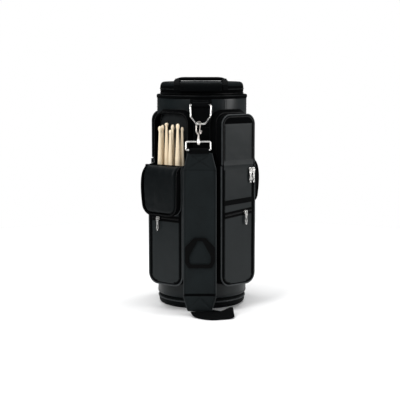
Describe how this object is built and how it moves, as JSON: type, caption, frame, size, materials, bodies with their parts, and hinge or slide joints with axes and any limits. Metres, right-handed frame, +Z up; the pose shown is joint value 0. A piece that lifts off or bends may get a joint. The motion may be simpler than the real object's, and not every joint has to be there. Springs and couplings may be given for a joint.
{
  "type": "drum stick bag",
  "caption": "Standing round stick bag with zip lid, padded handles, outer box pockets with fold-down flaps and a clip-on shoulder strap.",
  "frame": {"origin": "centre of the flat base, on the floor", "axes": "+Z up along the tube, -Y to the spine with the shoulder strap, +X to the right of the spine seen from the front"},
  "size_m": [0.3004, 0.4124, 0.5949],
  "materials": {
    "shell": "coated nylon with a soft sheen",
    "panel": "semi-gloss vinyl",
    "lining": "matt woven lining",
    "webbing": "ribbed nylon webbing",
    "piping": "smooth vinyl piping",
    "zip": "zip tape with moulded teeth",
    "pad": "padded fabric",
    "foam": "firm foam board",
    "board": "stiffener board",
    "moulded": "moulded plastic",
    "metal": "nickel plate",
    "wood": "clear-lacquered wood"
  },
  "bodies": {
    "bag": {"body_shell": "shell", "body_lining": "lining", "base_cup": "shell", "base_board": "board", "base_foam": "foam", "pocket_zips": "zip", "piping": "piping", "rim_zip": "zip", "spine_webbing": "webbing", "ring_tab": "webbing", "lower_webbing": "webbing", "front_left_pocket": "panel", "front_right_pocket": "panel", "rear_right_pocket": "panel", "rear_left_pocket": "panel"},
    "lid": {"lid_panel": "shell", "lid_zip": "zip", "lid_piping": "piping", "handle_patches": "webbing"},
    "lid_slider": {"lid_slider": "metal"},
    "lid_pull": {"lid_pull": "metal"},
    "front_left_flap": {"front_left_flap": "panel", "front_left_flap_zip": "zip"},
    "front_left_slider": {"front_left_slider": "metal"},
    "front_left_pull": {"front_left_pull": "metal"},
    "front_right_flap": {"front_right_flap": "panel", "front_right_flap_zip": "zip"},
    "front_right_inner_slider": {"front_right_inner_slider": "metal"},
    "front_right_inner_pull": {"front_right_inner_pull": "metal"},
    "front_right_outer_slider": {"front_right_outer_slider": "metal"},
    "front_right_outer_pull": {"front_right_outer_pull": "metal"},
    "rear_right_flap": {"rear_right_flap": "panel", "rear_right_flap_zip": "zip"},
    "rear_right_slider": {"rear_right_slider": "metal"},
    "rear_right_pull": {"rear_right_pull": "metal"},
    "rear_left_flap": {"rear_left_flap": "panel", "rear_left_flap_zip": "zip"},
    "rear_left_slider": {"rear_left_slider": "metal"},
    "rear_left_pull": {"rear_left_pull": "metal"},
    "front_left_lower_slider": {"front_left_lower_slider": "metal"},
    "front_left_lower_pull": {"front_left_lower_pull": "metal"},
    "front_right_lower_slider": {"front_right_lower_slider": "metal"},
    "front_right_lower_pull": {"front_right_lower_pull": "metal"},
    "front_handle": {"front_handle": "webbing", "front_grip": "pad"},
    "rear_handle": {"rear_handle": "pad"},
    "strap": {"strap_ring": "metal", "swivel_loop": "metal", "strap_fold": "webbing", "shoulder_pad": "pad", "pad_loop": "moulded"},
    "snap_hook": {"snap_hook": "metal"},
    "hook_gate": {"hook_gate": "metal"},
    "stick_1": {"stick_1": "wood"},
    "stick_2": {"stick_2": "wood"},
    "stick_3": {"stick_3": "wood"},
    "stick_4": {"stick_4": "wood"},
    "stick_5": {"stick_5": "wood"},
    "stick_6": {"stick_6": "wood"},
    "stick_7": {"stick_7": "wood"}
  },
  "joints": [
    {"name": "lid_hinge", "type": "hinge", "parent": "bag", "child": "lid", "pos_m": [0, 0.12, 0.5494], "axis": [-1, 0, 0], "range_deg": [0, 110]},
    {"name": "lid_zip_run", "type": "hinge", "parent": "bag", "child": "lid_slider", "pos_m": [0, 0, 0.55], "axis": [0, 0, 1], "range_deg": [0, 296]},
    {"name": "lid_pull_pivot", "type": "hinge", "parent": "lid_slider", "child": "lid_pull", "pos_m": [-0.06679, 0.09104, 0.5553], "axis": [0, 0, 1], "range_deg": [-80, 0]},
    {"name": "front_left_flap_fold", "type": "hinge", "parent": "bag", "child": "front_left_flap", "pos_m": [-0.0937, -0.11993, 0.3755], "axis": [0.788, -0.6157, 0], "range_deg": [-180, 0]},
    {"name": "front_left_zip_run", "type": "slide", "parent": "bag", "child": "front_left_slider", "axis": [0, 0, 1], "range_m": [0, 0.085]},
    {"name": "front_left_pull_pivot", "type": "hinge", "parent": "front_left_slider", "child": "front_left_pull", "pos_m": [-0.12687, -0.06331, 0.371], "axis": [0.6157, 0.788, 0], "range_deg": [0, 160]},
    {"name": "front_right_flap_fold", "type": "hinge", "parent": "bag", "child": "front_right_flap", "pos_m": [0.0937, -0.11993, 0.3755], "axis": [0.788, 0.6157, 0], "range_deg": [0, 145]},
    {"name": "front_right_inner_zip_run", "type": "slide", "parent": "bag", "child": "front_right_inner_slider", "axis": [0, 0, 1], "range_m": [0, 0.085]},
    {"name": "front_right_inner_pull_pivot", "type": "hinge", "parent": "front_right_inner_slider", "child": "front_right_inner_pull", "pos_m": [0.12481, -0.10046, 0.361], "axis": [-0.788, -0.6157, 0], "range_deg": [0, 160]},
    {"name": "front_right_outer_zip_run", "type": "slide", "parent": "bag", "child": "front_right_outer_slider", "axis": [0, 0, 1], "range_m": [0, 0.085]},
    {"name": "front_right_outer_pull_pivot", "type": "hinge", "parent": "front_right_outer_slider", "child": "front_right_outer_pull", "pos_m": [0.13269, -0.0943, 0.361], "axis": [-0.788, -0.6157, 0], "range_deg": [0, 160]},
    {"name": "rear_right_flap_fold", "type": "hinge", "parent": "bag", "child": "rear_right_flap", "pos_m": [0.0937, 0.11993, 0.3755], "axis": [-0.788, 0.6157, 0], "range_deg": [-180, 0]},
    {"name": "rear_right_zip_run", "type": "slide", "parent": "bag", "child": "rear_right_slider", "axis": [0, 0, 1], "range_m": [0, 0.085]},
    {"name": "rear_right_pull_pivot", "type": "hinge", "parent": "rear_right_slider", "child": "rear_right_pull", "pos_m": [0.12687, 0.06331, 0.371], "axis": [-0.6157, -0.788, 0], "range_deg": [0, 160]},
    {"name": "rear_left_flap_fold", "type": "hinge", "parent": "bag", "child": "rear_left_flap", "pos_m": [-0.0937, 0.11993, 0.3755], "axis": [-0.788, -0.6157, 0], "range_deg": [0, 165]},
    {"name": "rear_left_zip_run", "type": "slide", "parent": "bag", "child": "rear_left_slider", "axis": [0, 0, 1], "range_m": [0, 0.085]},
    {"name": "rear_left_pull_pivot", "type": "hinge", "parent": "rear_left_slider", "child": "rear_left_pull", "pos_m": [-0.12687, 0.06331, 0.371], "axis": [-0.6157, 0.788, 0], "range_deg": [0, 160]},
    {"name": "front_left_lower_zip_run", "type": "slide", "parent": "bag", "child": "front_left_lower_slider", "axis": [0.788, -0.6157, 0], "range_m": [0, 0.055]},
    {"name": "front_left_lower_pull_pivot", "type": "hinge", "parent": "front_left_lower_slider", "child": "front_left_lower_pull", "pos_m": [-0.1137, -0.11142, 0.238], "axis": [-0.788, 0.6157, 0], "range_deg": [0, 100]},
    {"name": "front_right_lower_zip_run", "type": "slide", "parent": "bag", "child": "front_right_lower_slider", "axis": [-0.7844, -0.6128, -0.0958], "range_m": [0, 0.055]},
    {"name": "front_right_lower_pull_pivot", "type": "hinge", "parent": "front_right_lower_slider", "child": "front_right_lower_pull", "pos_m": [0.1137, -0.11142, 0.25402], "axis": [-0.788, -0.6157, 0], "range_deg": [0, 160]},
    {"name": "front_handle_lift", "type": "hinge", "parent": "lid", "child": "front_handle", "pos_m": [0, -0.062, 0.5872], "axis": [-1, 0, 0], "range_deg": [0, 95]},
    {"name": "rear_handle_lift", "type": "hinge", "parent": "lid", "child": "rear_handle", "pos_m": [0, 0.044, 0.5872], "axis": [-1, 0, 0], "range_deg": [0, 95]},
    {"name": "strap_swing", "type": "hinge", "parent": "bag", "child": "strap", "pos_m": [0, -0.1234, 0.527], "axis": [-1, 0, 0], "range_deg": [0, 8], "deforming": ["lower_webbing"]},
    {"name": "hook_swivel", "type": "hinge", "parent": "strap", "child": "snap_hook", "pos_m": [-0.0085, -0.15118, 0.43615], "axis": [0, -0.2924, -0.9563], "range_deg": [-5, 35]},
    {"name": "gate_pivot", "type": "hinge", "parent": "snap_hook", "child": "hook_gate", "pos_m": [-0.00591, -0.14776, 0.45864], "axis": [-0.788, -0.5888, 0.18], "range_deg": [0, 7], "stiffness_Nm_per_rad": 0.02},
    {"name": "stick_1_draw", "type": "slide", "parent": "bag", "child": "stick_1", "axis": [-0.0035, 0.0027, 1], "range_m": [0, 0.45]},
    {"name": "stick_2_draw", "type": "slide", "parent": "bag", "child": "stick_2", "axis": [0.0019, -0.0015, 1], "range_m": [0, 0.02]},
    {"name": "stick_3_draw", "type": "slide", "parent": "bag", "child": "stick_3", "axis": [0.0016, -0.0012, 1], "range_m": [0, 0.02]},
    {"name": "stick_4_draw", "type": "slide", "parent": "bag", "child": "stick_4", "axis": [-0.0012, 0.0009, 1], "range_m": [0, 0.45]},
    {"name": "stick_5_draw", "type": "slide", "parent": "bag", "child": "stick_5", "axis": [0.0019, -0.0015, 1], "range_m": [0, 0.02]},
    {"name": "stick_6_draw", "type": "slide", "parent": "bag", "child": "stick_6", "axis": [0.0045, -0.0035, 1], "range_m": [0, 0.075]},
    {"name": "stick_7_draw", "type": "slide", "parent": "bag", "child": "stick_7", "axis": [0.0086, -0.0067, 0.9999], "range_m": [0, 0.02]}
  ]
}
